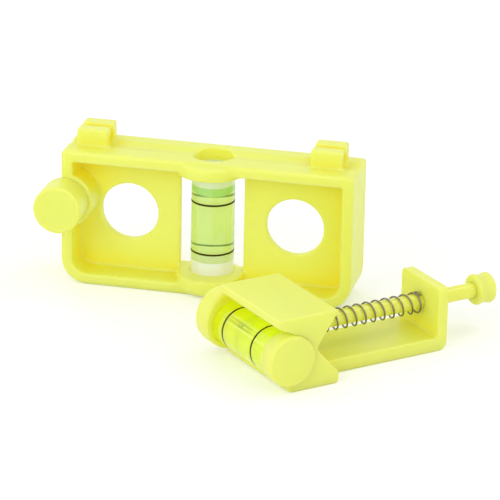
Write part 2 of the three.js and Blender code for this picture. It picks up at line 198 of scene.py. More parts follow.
def turned(profile: Sequence[Point], axis: Axis, centre: Place, sides: int = 96) -> Thing:
    """Turns a profile about an axis.

    Args:
        profile: Pairs of radius and distance along the axis. A profile that starts and ends on
            the axis makes a full body, and any other is closed on itself and makes a ring.
        axis: The direction of the axis.
        centre: A point on the axis, from which the distances count.
        sides: The number of faces round it.

    Returns:
        The solid.
    """
    points: list[Place] = []
    rings: list[list[int]] = []
    full = profile[0][0] <= NEARLY_ZERO and profile[-1][0] <= NEARLY_ZERO
    for radius, along in held(profile, not full):
        ring = []
        for i in range(sides if radius > NEARLY_ZERO else 1):
            angle = 2 * math.pi * i / sides
            place = axis.place(radius * math.cos(angle), radius * math.sin(angle), along)
            ring.append(len(points))
            points.append(tuple(a + b for a, b in zip(place, centre)))
        rings.append(ring)
    pairs = list(zip(rings, rings[1:])) + ([] if full else [(rings[-1], rings[0])])
    faces = []
    for low, high in pairs:
        for i in range(sides):
            j = (i + 1) % sides
            corners = [low[i % len(low)], low[j % len(low)], high[j % len(high)], high[i % len(high)]]
            corners = list(dict.fromkeys(corners))
            if len(corners) > 2:
                faces.append(corners)
    return mesh_object("turned", points, faces)


def bar(radius: float, axis: Axis, centre: Place, start: float, end: float, sides: int = 96) -> Thing:
    """Makes a plain round bar, used only to add to or cut from a moulding."""
    return turned([(0, start), (radius, start), (radius, end), (0, end)], axis, centre, sides)


def block(low: Place, high: Place) -> Thing:
    """Makes a box between two corners, used only to add to or cut from a moulding."""
    outline = [(low[0], low[2]), (high[0], low[2]), (high[0], high[2]), (low[0], high[2])]
    return prism(outline, Axis.Y, low[1], high[1])


def rounded(corners: Sequence[Place], steps: int = 8) -> list[Point]:
    """Rounds the corners of a closed outline.

    Args:
        corners: Each corner as across, up and the radius of its round, which may be 0.
        steps: The number of straight steps in a round.

    Returns:
        The outline's points.
    """
    points: list[Point] = []
    for i, (across, up, radius) in enumerate(corners):
        if radius <= 0:
            points.append((across, up))
            continue
        here = Vector((across, up))
        before = (Vector(corners[i - 1][:2]) - here).normalized()
        after = (Vector(corners[(i + 1) % len(corners)][:2]) - here).normalized()
        half = before.angle(after) / 2
        centre = here + (before + after).normalized() * (radius / math.sin(half))
        start = here + before * (radius / math.tan(half)) - centre
        end = here + after * (radius / math.tan(half)) - centre
        for step in range(steps + 1):
            spot = centre + start.lerp(end, step / steps).normalized() * radius
            points.append((spot.x, spot.y))
    return points


def arc(centre: Point, radius: float, start: float, end: float, steps: int = 12) -> list[Point]:
    """Gives the points of an arc between two angles in degrees."""
    angles = [math.radians(start + (end - start) * i / steps) for i in range(steps + 1)]
    return [(centre[0] + radius * math.cos(a), centre[1] + radius * math.sin(a)) for a in angles]


def evaluated_mesh(thing: Thing) -> bpy.types.Mesh:
    """Gives a plain mesh of an object as its modifiers leave it."""
    graph = bpy.context.evaluated_depsgraph_get()
    return bpy.data.meshes.new_from_object(thing.evaluated_get(graph), depsgraph=graph)


def discard(thing: Thing) -> None:
    """Removes an object that was only a step on the way."""
    bpy.data.objects.remove(thing, do_unlink=True)


def joined(base: Thing, other: Thing, cut: bool) -> Thing:
    """Adds a solid to another, or cuts it away.

    Args:
        base: The solid that is changed.
        other: The solid that is added or cut away, which is used up.
        cut: Whether it is cut away.

    Returns:
        The changed solid.
    """
    step = base.modifiers.new("step", "BOOLEAN")
    step.operation = "DIFFERENCE" if cut else "UNION"
    step.solver = "MANIFOLD"
    step.object = other
    mesh = evaluated_mesh(base)
    base.modifiers.remove(step)
    base.data = mesh
    discard(other)
    return base


def moulded(base: Thing, grain: float, softness: int, keep: float) -> Thing:
    """Rounds every edge and fills every inner corner of a solid, as a moulding's are.

    Args:
        base: The solid with sharp edges, which is changed.
        grain: The size of the fine grid that it is built on.
        softness: How many times the grid is smoothed.
        keep: The share of the faces that are kept, fewest where it is flat.

    Returns:
        The same object with its new mesh.
    """
    grid = base.modifiers.new("grid", "REMESH")
    grid.mode = "VOXEL"
    grid.voxel_size = grain
    grid.adaptivity = 0
    soft = base.modifiers.new("soft", "SMOOTH")
    soft.factor = 0.5
    soft.iterations = softness
    fewer = base.modifiers.new("fewer", "DECIMATE")
    fewer.ratio = keep
    mesh = evaluated_mesh(base)
    for step in list(base.modifiers):
        base.modifiers.remove(step)
    base.data = mesh
    return base


# Node building


@dataclass
class Tree:
    """A node tree with short ways to add and link nodes."""

    tree: bpy.types.NodeTree

    def node(self, kind: str, inputs: Inputs | None = None, **settings: object) -> Node:
        """Adds a node of a kind, sets its properties and fills its inputs."""
        made = self.tree.nodes.new(kind)
        for key, value in settings.items():
            setattr(made, key, value)
        self.fill(made, inputs or {})
        return made

    def fill(self, made: Node, inputs: Inputs) -> None:
        """Links or sets inputs of a node.

        Args:
            made: The node.
            inputs: For each input's name or number a socket, a node for its first output, or a
                value. A colour is given without its cover, which is always full.
        """
        for key, value in inputs.items():
            socket = made.inputs[key]
            if isinstance(value, Node):
                self.tree.links.new(value.outputs[0], socket)
            elif isinstance(value, Socket):
                self.tree.links.new(value, socket)
            elif socket.type == "RGBA":
                socket.default_value = (*value, 1)
            else:
                socket.default_value = value

    def show(self, shader: Node) -> None:
        """Makes a shader the material's surface."""
        self.fill(self.tree.nodes["Material Output"], {"Surface": shader})

    def place(self) -> Socket:
        """Gives the shaded point in the object's own frame."""
        return self.node("ShaderNodeTexCoord").outputs["Object"]

    def math(self, operation: str, *values: Socket | float) -> Socket:
        """Adds a Math node with a socket or a number for each input, and gives its output."""
        return self.node("ShaderNodeMath", dict(enumerate(values)), operation=operation).outputs[0]

    def noise(self, place: Socket, scale: float, detail: float) -> Socket:
        """Adds a noise pattern and gives its value."""
        inputs = {"Vector": place, "Scale": scale, "Detail": detail}
        return self.node("ShaderNodeTexNoise", inputs).outputs["Fac"]

    def ramp(self, value: Socket, low: float, high: float, to_low: float, to_high: float) -> Socket:
        """Maps a value from one range to another, held at its ends."""
        inputs = {"Value": value, "From Min": low, "From Max": high, "To Min": to_low, "To Max": to_high}
        return self.node("ShaderNodeMapRange", inputs).outputs[0]

    def mix(self, factor: Socket, first: Socket | Colour, second: Colour) -> Socket:
        """Mixes two colours by a factor."""
        inputs = {"Factor": factor, "A": first, "B": second}
        return self.node("ShaderNodeMix", inputs, data_type="RGBA").outputs["Result"]

    def bump(self, height: Socket, strength: float, distance: float) -> Socket:
        """Gives the normal of a surface that is raised by a pattern."""
        inputs = {"Height": height, "Strength": strength, "Distance": distance}
        return self.node("ShaderNodeBump", inputs).outputs["Normal"]

    def blend(self, factor: Socket | float, first: Node, second: Node) -> Node:
        """Mixes two shaders by a factor."""
        return self.node("ShaderNodeMixShader", {0: factor, 1: first, 2: second})

    def seen(self) -> Socket:
        """Gives 1 for rays that look directly, in a gloss or through glass, and else 0."""
        path = self.node("ShaderNodeLightPath").outputs
        either = self.math("MAXIMUM", path["Is Camera Ray"], path["Is Glossy Ray"])
        return self.math("MAXIMUM", either, path["Is Transmission Ray"])


def new_shader(name: str) -> tuple[Material, Tree, Node]:
    """Makes a material with one main shader.

    Args:
        name: The material's name.

    Returns:
        The material, its tree and its Principled shader.
    """
    material = bpy.data.materials.new(name)
    material.use_nodes = True
    return material, Tree(material.node_tree), material.node_tree.nodes["Principled BSDF"]


# Finishes


@dataclass(frozen=True)
class FluorescentPlastic:
    """Moulded lemon plastic with painted shade that turns it deep yellow in its hollows, painted highlights
    along its edges and a painted glow, strongest in its hollows.
    """

    name: str = "fluorescent yellow plastic"
    open_colour: Colour = (0.82, 0.895, 0.175)
    # painted shade: the deep yellow put where ambient occlusion finds the surface hemmed in
    painted_shade_colour: Colour = (0.82, 0.71, 0.02)
    # painted highlight: the paler colour put along sharp outer edges
    edge_highlight_colour: Colour = (0.87, 0.93, 0.34)
    # painted glow: light that the plastic gives off, strongest in its hollows
    glow_colour: Colour = (0.9, 0.86, 0.03)
    reach: float = 0.012
    roughness: float = 0.36
    depth: float = 0.0035
    glow: float = 0.16
    least_glow: float = 0.04
    edge_highlight: float = 0.4
    edge_highlight_from: float = 0.51
    edge_highlight_to: float = 0.6
    open_from: float = 0.25
    open_to: float = 0.92
    cloud_scale: float = 60
    cloud_share: float = 0.12
    smear_scale: float = 140
    smoother: float = 0.05
    rougher: float = 0.09
    grain_scale: float = 900
    grain_strength: float = 0.35
    grain_height: float = 0.000012
    spread: float = 0.75
    spread_colours: Colour = (1.0, 1.0, 0.12)

    def build(self) -> Material:
        """Builds the material: cloudy colour, painted shade in hollows, painted edge highlights, satin
        skin, light scattered inside it and a painted glow.
        """
        material, tree, shader = new_shader(self.name)
        place = tree.place()
        openness = tree.node(
            "ShaderNodeAmbientOcclusion", {"Distance": self.reach}, samples=8, only_local=True
        ).outputs["AO"]
        clouds = tree.ramp(tree.noise(place, self.cloud_scale, 3), 0.35, 0.7, 0, self.cloud_share)
        lying_open = tree.ramp(openness, self.open_from, self.open_to, 0, 1)
        # Painted shade: the colour turns deep yellow where ambient occlusion finds hollows, corners and
        # gaps between parts.
        shade = tree.mix(
            tree.math("SUBTRACT", lying_open, clouds), self.painted_shade_colour, self.open_colour
        )
        # Painted highlight: sharp outer edges, found by their pointiness, are given a paler colour.
        if self.edge_highlight > 0:
            edges = tree.node("ShaderNodeNewGeometry").outputs["Pointiness"]
            painted_edge_highlight = tree.ramp(edges, self.edge_highlight_from, self.edge_highlight_to, 0, self.edge_highlight)
            shade = tree.mix(painted_edge_highlight, shade, self.edge_highlight_colour)
        smear = tree.noise(place, self.smear_scale, 5)
        grain = tree.noise(place, self.grain_scale, 2)
        tree.fill(shader, {
            "Base Color": shade,
            "Roughness": tree.ramp(
                smear, 0, 1, self.roughness - self.smoother, self.roughness + self.rougher
            ),
            "Normal": tree.bump(grain, self.grain_strength, self.grain_height),
            "IOR": REFRACTION,
            "Subsurface Weight": self.spread,
            "Subsurface Radius": self.spread_colours,
            "Subsurface Scale": self.depth,
            # painted glow, strongest where ambient occlusion finds hollows
            "Emission Color": self.glow_colour,
            "Emission Strength": tree.ramp(openness, 0.1, 0.8, self.glow, self.least_glow),
        })
        return material


@dataclass(frozen=True)
class ClearAcrylic:
    """Clear polished acrylic of the vials' walls."""

    name: str = "clear acrylic"
    colour: Colour = (0.985, 0.995, 0.97)
    smoothest: float = 0.01
    roughest: float = 0.05
    wave_scale: float = 180
    wave_strength: float = 0.12
    wave_height: float = 0.00001

    def build(self) -> Material:
        """Builds the material, with faint waves in its surface. Lamps shine through it."""
        material, tree, shader = new_shader(self.name)
        wave = tree.noise(tree.place(), self.wave_scale, 2)
        tree.fill(shader, {
            "Base Color": self.colour,
            "Roughness": tree.ramp(wave, 0, 1, self.smoothest, self.roughest),
            "Normal": tree.bump(wave, self.wave_strength, self.wave_height),
            "Transmission Weight": 1,
            "IOR": REFRACTION,
        })
        through = tree.node("ShaderNodeBsdfTransparent", {"Color": self.colour})
        from_lamp = tree.node("ShaderNodeLightPath").outputs["Is Shadow Ray"]
        tree.show(tree.blend(from_lamp, shader, through))
        return material


@dataclass(frozen=True)
class ClearInside:
    """What lies inside a vial's wall: the wall bends the light, and this only tints it.

    Seen at a slant its surface takes on a painted shade, its rim colour, and mirrors what lies behind.
    A share of the light comes back from it as the liquid's own glow, and a painted glow adds light of its
    own.
    """

    name: str
    colour: Colour
    # the painted shade that the surface takes on at a slant
    rim: Colour
    glow: float = 0.0
    glow_colour: Colour = (0.8, 0.95, 0.4)
    shine: float = 0.02
    slant_shine: float = 0.06
    # strength of the painted glow that it gives off
    light: float = 0.0
    cloud_scale: float = 90
    cloud_shade: float = 0.95
    slant: float = 0.25
    gloss_roughness: float = 0.05

    def build(self) -> Material:
        """Builds the material: a tint in slow clouds, a painted shade in the rim colour at a slant, a glow,
        a painted glow given off and a shine.
        """
        material, tree, shader = new_shader(self.name)
        tree.tree.nodes.remove(shader)
        darker = tuple(self.cloud_shade * value for value in self.colour)
        clouds = tree.mix(tree.noise(tree.place(), self.cloud_scale, 2), self.colour, darker)
        facing = tree.node("ShaderNodeLayerWeight", {"Blend": self.slant}).outputs["Facing"]
        # Painted shade: the tint turns to the rim colour where the surface is seen at a slant.
        tint = tree.mix(tree.ramp(facing, 0.35, 0.95, 0, 1), clouds, self.rim)
        through = tree.node("ShaderNodeBsdfTransparent", {"Color": tint})
        glow = tree.node("ShaderNodeBsdfDiffuse", {"Color": self.glow_colour})
        gloss = tree.node("ShaderNodeBsdfGlossy", {"Roughness": self.gloss_roughness})
        shine = tree.ramp(facing, 0.3, 0.9, self.shine, self.slant_shine)
        both = tree.blend(shine, tree.blend(self.glow, through, glow), gloss)
        # Painted glow: the surface gives off light of its own, though it is no lamp.
        light = tree.node("ShaderNodeEmission", {"Color": self.glow_colour, "Strength": self.light})
        tree.show(tree.node("ShaderNodeAddShader", {0: both, 1: light}))
        return material


@dataclass(frozen=True)
class RingInk:
    """The black of the vials' rings."""

    name: str = "ring black"
    thick: Colour = (0.030, 0.028, 0.0)
    thin: Colour = (0.065, 0.062, 0.002)
    grain_scale: float = 1500
    roughness: float = 0.55
    shine: float = 0.1

    def build(self) -> Material:
        """Builds the material, a soft black with thin places."""
        material, tree, shader = new_shader(self.name)
        grain = tree.noise(tree.place(), self.grain_scale, 2)
        tree.fill(shader, {
            "Base Color": tree.mix(grain, self.thick, self.thin),
            "Roughness": self.roughness,
            "Specular IOR Level": self.shine,
        })
        return material


@dataclass(frozen=True)
class DrawnSteel:
    """Drawn spring wire, grey with darker streaks."""

    name: str = "spring steel"
    dark: Colour = (0.10, 0.09, 0.06)
    bright: Colour = (0.40, 0.38, 0.29)
    patch_scale: float = 700
    smoothest: float = 0.2
    roughest: float = 0.42

    def build(self) -> Material:
        """Builds the material with drawing marks and dull patches."""
        material, tree, shader = new_shader(self.name)
        patch = tree.noise(tree.place(), self.patch_scale, 4)
        tree.fill(shader, {
            "Base Color": tree.mix(patch, self.dark, self.bright),
            "Roughness": tree.ramp(patch, 0, 1, self.smoothest, self.roughest),
            "Metallic": 1,
        })
        return material


@dataclass(frozen=True)
class PaleGround:
    """The white ground: pale paper that keeps the object's shadow."""

    name: str = "white ground"
    colour: Colour = (0.88, 0.88, 0.88)
    lift: float = 0.26

    def build(self) -> Material:
        """Builds the material, lifted to white only for what looks at it."""
        material, tree, shader = new_shader(self.name)
        tree.tree.nodes.remove(shader)
        paper = tree.node("ShaderNodeBsdfDiffuse", {"Color": self.colour})
        lift = tree.math("MULTIPLY", tree.seen(), self.lift)
        glow = tree.node("ShaderNodeEmission", {"Color": (1, 1, 1), "Strength": lift})
        tree.show(tree.node("ShaderNodeAddShader", {0: paper, 1: glow}))
        return material


@dataclass
class Finishes:
    """Every finish of the object, each built once."""

    yellow: Material = field(default_factory=FluorescentPlastic().build)
    turned: Material = field(
        default_factory=FluorescentPlastic("turned yellow plastic", edge_highlight=0).build
    )
    polished: Material = field(default_factory=FluorescentPlastic(
        "polished yellow plastic", (0.85, 0.89, 0.14), edge_highlight=0, roughness=0.15
    ).build)
    clear: Material = field(default_factory=ClearAcrylic().build)
    bore: Material = field(
        default_factory=ClearInside("vial bore", (0.99, 1.0, 0.985), (0.93, 0.97, 0.9)).build
    )
    # The hazed bore, the plug, the green liquid's surface and the yellow green liquid give off a faint
    # painted glow.
    haze: Material = field(default_factory=ClearInside(
        "hazed vial bore", (0.99, 1.0, 0.97), (0.9, 0.95, 0.85), 0.5, (0.92, 0.92, 0.80), light=0.04
    ).build)
    plug: Material = field(default_factory=ClearInside(
        "clear plug", (0.98, 1.0, 0.96), (0.88, 0.94, 0.84), 0.8, (0.94, 0.97, 0.94), light=0.05
    ).build)
    green: Material = field(default_factory=ClearInside(
        "green liquid", (0.96, 0.97, 0.53), (0.88, 0.93, 0.45), 0.2, (0.45, 1.0, 0.28)
    ).build)
    green_surface: Material = field(default_factory=ClearInside(
        "green liquid surface", (0.92, 1.0, 0.75), (0.7, 0.97, 0.5), 0.7, (0.6, 1.0, 0.5),
        0.2, 0.4, 0.06,
    ).build)
    lime: Material = field(default_factory=ClearInside(
        "yellow green liquid", (0.98, 1.0, 0.42), (0.94, 0.98, 0.25), 0.35, (0.85, 1.0, 0.02),
        light=0.1,
    ).build)
    lime_surface: Material = field(default_factory=ClearInside(
        "yellow green bubble", (0.98, 1.0, 0.8), (0.6, 0.75, 0.2), 0.2, (0.88, 1.0, 0.35), 0.03, 0.35
    ).build)
    ink: Material = field(default_factory=RingInk().build)
    steel: Material = field(default_factory=DrawnSteel().build)


def finish_piece(
    thing: Thing,
    name: str,
    nodes: Sequence[str],
    material: Material,
    place: Matrix = Matrix.Identity(4),
    body: Body = Body.LEVELS,
) -> Thing:
    """Puts a piece in its place in metres, dresses it, and hands it to its body.

    Args:
        thing: The piece, in millimetres.
        name: The piece's name.
        nodes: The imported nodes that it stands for.
        material: Its finish.
        place: Where the piece's own frame lies, in millimetres.
        body: The body that it rides on.

    Returns:
        The finished piece.
    """
    thing.name = name
    thing.data.name = name
    thing.data.transform(Matrix.Diagonal((MM, MM, MM, 1)) @ place)
    thing.data.materials.clear()
    thing.data.materials.append(material)
    for face in thing.data.polygons:
        face.use_smooth = True
    thing.data.update()
    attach(thing, body.value)
    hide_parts(*nodes)
    log.info("%s: %d faces, stands for %s", name, len(thing.data.polygons), ", ".join(nodes))
    return thing


# Pieces that follow a rule


def new_rule(name: str, sizes: dict[str, float]) -> tuple[Tree, bpy.types.NodeOutputs]:
    """Starts a Geometry Nodes tree with a named input for each size, and one geometry output.

    Args:
        name: The tree's name.
        sizes: A value for each named input. A whole number makes an input for whole numbers.

    Returns:
        The tree and the sockets of its inputs.
    """
    group = bpy.data.node_groups.new(name, "GeometryNodeTree")
    for label, value in sizes.items():
        kind = "NodeSocketInt" if isinstance(value, int) else "NodeSocketFloat"
        group.interface.new_socket(label, in_out="INPUT", socket_type=kind).default_value = value
    group.interface.new_socket("Geometry", in_out="OUTPUT", socket_type="NodeSocketGeometry")
    tree = Tree(group)
    return tree, tree.node("NodeGroupInput").outputs


def grown(name: str, tree: Tree, shape: Node, material: Material) -> Thing:
    """Ends a tree and turns its result into a plain mesh.

    Args:
        name: The object's name.
        tree: The tree.
        shape: The node that gives its geometry.
        material: The finish that the tree gives it.

    Returns:
        The object with its plain mesh and no modifier.
    """
    real = tree.node("GeometryNodeRealizeInstances", {0: shape})
    tree.node("NodeGroupOutput", {
        0: tree.node("GeometryNodeSetMaterial", {"Geometry": real, "Material": material}),
    })
    seed = mesh_object(name, [(0, 0, 0), (1, 0, 0), (0, 1, 0)], [(0, 1, 2)])
    rule = seed.modifiers.new("rule", "NODES")
    rule.node_group = tree.tree
    for item in tree.tree.interface.items_tree:
        if item.in_out == "INPUT":
            rule[item.identifier] = item.default_value
    mesh = evaluated_mesh(seed)
    seed.modifiers.remove(rule)
    seed.data = mesh
    return seed


@dataclass
class RingMarks:
    """The black rings on a vial, each a thin band let into its wall."""

    radius: float
    width: float
    depth: float
    spacing: float
    count: int = 2
    sides: int = 96

    def build(self, material: Material) -> Thing:
        """Builds the rings along Z, the first at height zero.

        Args:
            material: The rings' finish.

        Returns:
            The rings as one object in millimetres.
        """
        tree, size = new_rule("ring marks", {
            "Radius": self.radius, "Width": self.width, "Depth": self.depth,
            "Spacing": self.spacing, "Count": self.count,
        })
        half = tree.math("MULTIPLY", size["Depth"], 0.5)
        path = tree.node("GeometryNodeCurvePrimitiveCircle", {
            "Resolution": self.sides, "Radius": tree.math("SUBTRACT", size["Radius"], half),
        })
        section = tree.node("GeometryNodeCurvePrimitiveQuadrilateral", {
            "Width": size["Depth"], "Height": size["Width"],
        })
        ring = tree.node("GeometryNodeCurveToMesh", {"Curve": path, "Profile Curve": section})
        step = tree.node("ShaderNodeCombineXYZ", {"Z": size["Spacing"]})
        row = tree.node("GeometryNodeMeshLine", {"Count": size["Count"], "Offset": step})
        spread = tree.node("GeometryNodeInstanceOnPoints", {"Points": row, "Instance": ring})
        return grown("ring marks", tree, spread, material)


@dataclass
class WoundSpring:
    """A wire wound in open curls along X, closed up at both ends."""

    radius: float = 2.25
    wire: float = 0.21
    curls: float = 12.76
    start: float = 0.7
    end: float = 28.7
    closed_pitch: float = 0.75
    turn: float = -2.67
    points: int = 900
    sides: int = 12

    def build(self, material: Material) -> Thing:
        """Builds the spring about the X axis.

        Args:
            material: The wire's finish.

        Returns:
            The spring in millimetres.
        """
        tree, size = new_rule("wound spring", {
            "Radius": self.radius, "Wire": self.wire, "Curls": self.curls, "Start": self.start,
            "End": self.end, "Closed Pitch": self.closed_pitch, "Turn": self.turn,
        })
        line = tree.node("GeometryNodeCurvePrimitiveLine")
        fine = tree.node("GeometryNodeResampleCurve", {"Curve": line, "Count": self.points})
        factor = tree.node("GeometryNodeSplineParameter").outputs["Factor"]
        curl = tree.math("MULTIPLY", factor, size["Curls"])
        angle = tree.math("ADD", tree.math("MULTIPLY", curl, 2 * math.pi), size["Turn"])
        open_curls = tree.math("SUBTRACT", size["Curls"], 2)
        low_end = tree.math("MINIMUM", curl, 1)
        past_low_end = tree.math("MAXIMUM", tree.math("SUBTRACT", curl, 1), 0)
        middle = tree.math("MINIMUM", past_low_end, open_curls)
        past_middle = tree.math("SUBTRACT", curl, tree.math("ADD", open_curls, 1))
        high_end = tree.math("MAXIMUM", past_middle, 0)
        length = tree.math("SUBTRACT", size["End"], size["Start"])
        inner = tree.math("SUBTRACT", length, tree.math("MULTIPLY", size["Wire"], 2))
        left = tree.math("SUBTRACT", inner, tree.math("MULTIPLY", size["Closed Pitch"], 2))
        pitch = tree.math("DIVIDE", left, open_curls)
        closed = tree.math("MULTIPLY", tree.math("ADD", low_end, high_end), size["Closed Pitch"])
        along = tree.math("ADD", closed, tree.math("MULTIPLY", middle, pitch))
        first = tree.math("ADD", size["Start"], size["Wire"])
        place = tree.node("ShaderNodeCombineXYZ", {
            "X": tree.math("ADD", along, first),
            "Y": tree.math("MULTIPLY", tree.math("COSINE", angle), size["Radius"]),
            "Z": tree.math("MULTIPLY", tree.math("SINE", angle), size["Radius"]),
        })
        wound = tree.node("GeometryNodeSetPosition", {"Geometry": fine, "Position": place})
        section = tree.node("GeometryNodeCurvePrimitiveCircle", {
            "Resolution": self.sides, "Radius": size["Wire"],
        })
        swept = tree.node("GeometryNodeCurveToMesh", {
            "Curve": wound, "Profile Curve": section, "Fill Caps": True,
        })
        return grown("wound spring", tree, swept, material)


# Sub-assemblies


@dataclass
class Vial:
    """A ringed vial along Z, its plug end at height zero."""

    name: str
    radius: float = 5.0
    length: float = 26.6
    wall: float = 1.1
    end_wall: float = 2.0
    edge: float = 0.5
    rim_edge: float = 0.15
    inner_round: float = 0.4
    plug: float = 5.0
    plug_edge: float = 0.1
    mark_offset: float = 6.75
    mark_spacing: float = 12.0
    mark_width: float = 0.42
    mark_depth: float = 0.25
    mark_raise: float = 0.01
    air: float = 2.0
    meniscus: float = 2.5
    meniscus_power: int = 5
    bubble: tuple[float, float, float] = (4.0, 3.4, 4.6)
    bubble_drift: float = 0.5
    bubble_turn: float = -45
    bubble_raise: float = 0.05
    wetting: float = 0.02
    wall_margin: float = 0.01
    end_margin: float = 0.3

    @property
    def bore(self) -> float:
        """The bore's radius."""
        return self.radius - self.wall

    @property
    def level(self) -> float:
        """The liquid's height where it meets the wall of a standing vial."""
        return self.length - self.end_wall - self.air

    def tube(self) -> Thing:
        """Builds the tube with its closed, softly edged top."""
        top, edge, inner = self.length, self.edge, self.inner_round
        return turned(
            [(self.bore, 0), (self.radius - self.rim_edge, 0), (self.radius, self.rim_edge)]
            + arc((self.radius - edge, top - edge), edge, 0, 90, 5)
            + [(0, top), (0, top - self.end_wall)]
            + arc((self.bore - inner, top - self.end_wall - inner), inner, 90, 0, 4)
            + [(self.bore, self.level)],
            Axis.Z, (0, 0, 0),
        )

    def stopper(self) -> Thing:
        """Builds the plug with soft edges."""
        radius, soft = self.bore + self.wetting, self.plug_edge
        return turned(
            [(0, 0), (radius - soft, 0), (radius, soft), (radius, self.plug - self.rim_edge),
             (radius - self.rim_edge, self.plug), (0, self.plug)],
            Axis.Z, (0, 0, 0),
        )

    def standing_liquid(self) -> Thing:
        """Builds the liquid of an upright vial, its surface drawn up at the wall."""
        radius = self.bore + self.wetting
        surface = []
        for i in range(17):
            out = 1 - i / 16
            surface.append((radius * out, self.level - self.meniscus * (1 - out ** self.meniscus_power)))
        foot = self.plug - self.wetting
        return turned([(0, foot), (radius, foot)] + surface, Axis.Z, (0, 0, 0))

    def lying_liquid(self) -> Thing:
        """Builds the liquid of a lying vial. Its bubble lies at +Y, turned about the vial's axis."""
        radius = self.bore + self.wetting
        top = self.length - self.end_wall + self.wetting
        foot = self.plug - self.wetting
        column = turned([(0, foot), (radius, foot), (radius, top), (0, top)], Axis.Z, (0, 0, 0))
        width, depth, length = self.bubble
        middle = self.mark_offset + self.mark_spacing / 2 + self.bubble_drift
        turns = [math.pi * i / 24 for i in range(25)]
        air = turned([(math.sin(turn), -math.cos(turn)) for turn in turns], Axis.Z, (0, 0, 0), 48)
        air.data.transform(
            Matrix.Rotation(math.radians(self.bubble_turn), 4, "Z")
            @ Matrix.Translation((0, self.bore - depth / 2 + self.bubble_raise, middle))
            @ Matrix.Diagonal((width / 2, depth / 2, length / 2, 1))
        )
        return joined(column, air, cut=True)

    def faces(self, piece: Thing, place: Matrix) -> Iterator[tuple[bpy.types.MeshPolygon, float, float]]:
        """Gives each face of a finished piece with its distance from the vial's axis and its height.

        Args:
            piece: The finished piece.
            place: Where the vial's frame lies, in millimetres.

        Yields:
            The face, its distance and its height, in millimetres.
        """
        back = place.inverted() @ Matrix.Diagonal((1 / MM, 1 / MM, 1 / MM, 1))
        for face in piece.data.polygons:
            spot = back @ face.center
            yield face, math.hypot(spot.x, spot.y), spot.z

    def line_bore(self, wall: Thing, place: Matrix, lining: Material, dry: Material) -> None:
        """Gives the faces of the wall's bore a lining that doesn't bend light.

        Args:
            wall: The finished wall.
            place: Where the vial's frame lies, in millimetres.
            lining: The lining's finish.
            dry: Its finish above the liquid's level.
        """
        wall.data.materials.append(lining)
        wall.data.materials.append(dry)
        top = self.length - self.end_wall / 2
        for face, out, height in self.faces(wall, place):
            if out < self.bore + self.wall_margin and height < top:
                face.material_index = 1 if height < self.level else 2

    def dress_surface(self, liquid: Thing, place: Matrix, surface: Material) -> None:
        """Gives the liquid's free surface its own finish, which mirrors.

        Args:
            liquid: The finished liquid.
            place: Where the vial's frame lies, in millimetres.
            surface: The free surface's finish.
        """
        liquid.data.materials.append(surface)
        foot, top = self.plug + self.end_margin, self.length - self.end_wall - self.end_margin
        for face, out, height in self.faces(liquid, place):
            if out < self.bore - self.wall_margin and foot < height < top:
                face.material_index = 1

    def build(self, place: Matrix, finishes: Finishes, lying: bool) -> None:
        """Builds and dresses the whole vial.

        Args:
            place: Where the vial's frame lies.
            finishes: The object's finishes.
            lying: Whether the vial lies, with a bubble in it.
        """
        if lying:
            liquid, tint, stop = self.lying_liquid(), finishes.lime, finishes.lime
            surface, dry = finishes.lime_surface, finishes.bore
        else:
            liquid, tint, stop = self.standing_liquid(), finishes.green, finishes.plug
            surface, dry = finishes.green_surface, finishes.haze
        name = self.name
        rings = RingMarks(
            self.radius + self.mark_raise, self.mark_width, self.mark_depth, self.mark_spacing
        ).build(finishes.ink)
        rings.data.transform(Matrix.Translation((0, 0, self.mark_offset)))
        wall = finish_piece(
            self.tube(), f"{name}_wall", [f"{name}_tube"], finishes.clear, place
        )
        plug = finish_piece(self.stopper(), f"{name}_stopper", [f"{name}_plug"], stop, place)
        fill = finish_piece(liquid, f"{name}_fill", [f"{name}_liquid"], tint, place)
        nodes = [f"{name}_mark_1", f"{name}_mark_2"]
        finish_piece(rings, f"{name}_rings", nodes, finishes.ink, place)
        self.line_bore(wall, place, finishes.bore, dry)
        self.dress_surface(fill, place, surface)
        for clear in (wall, plug, fill):
            clear.visible_shadow = False
            clear.visible_diffuse = lying and clear is fill


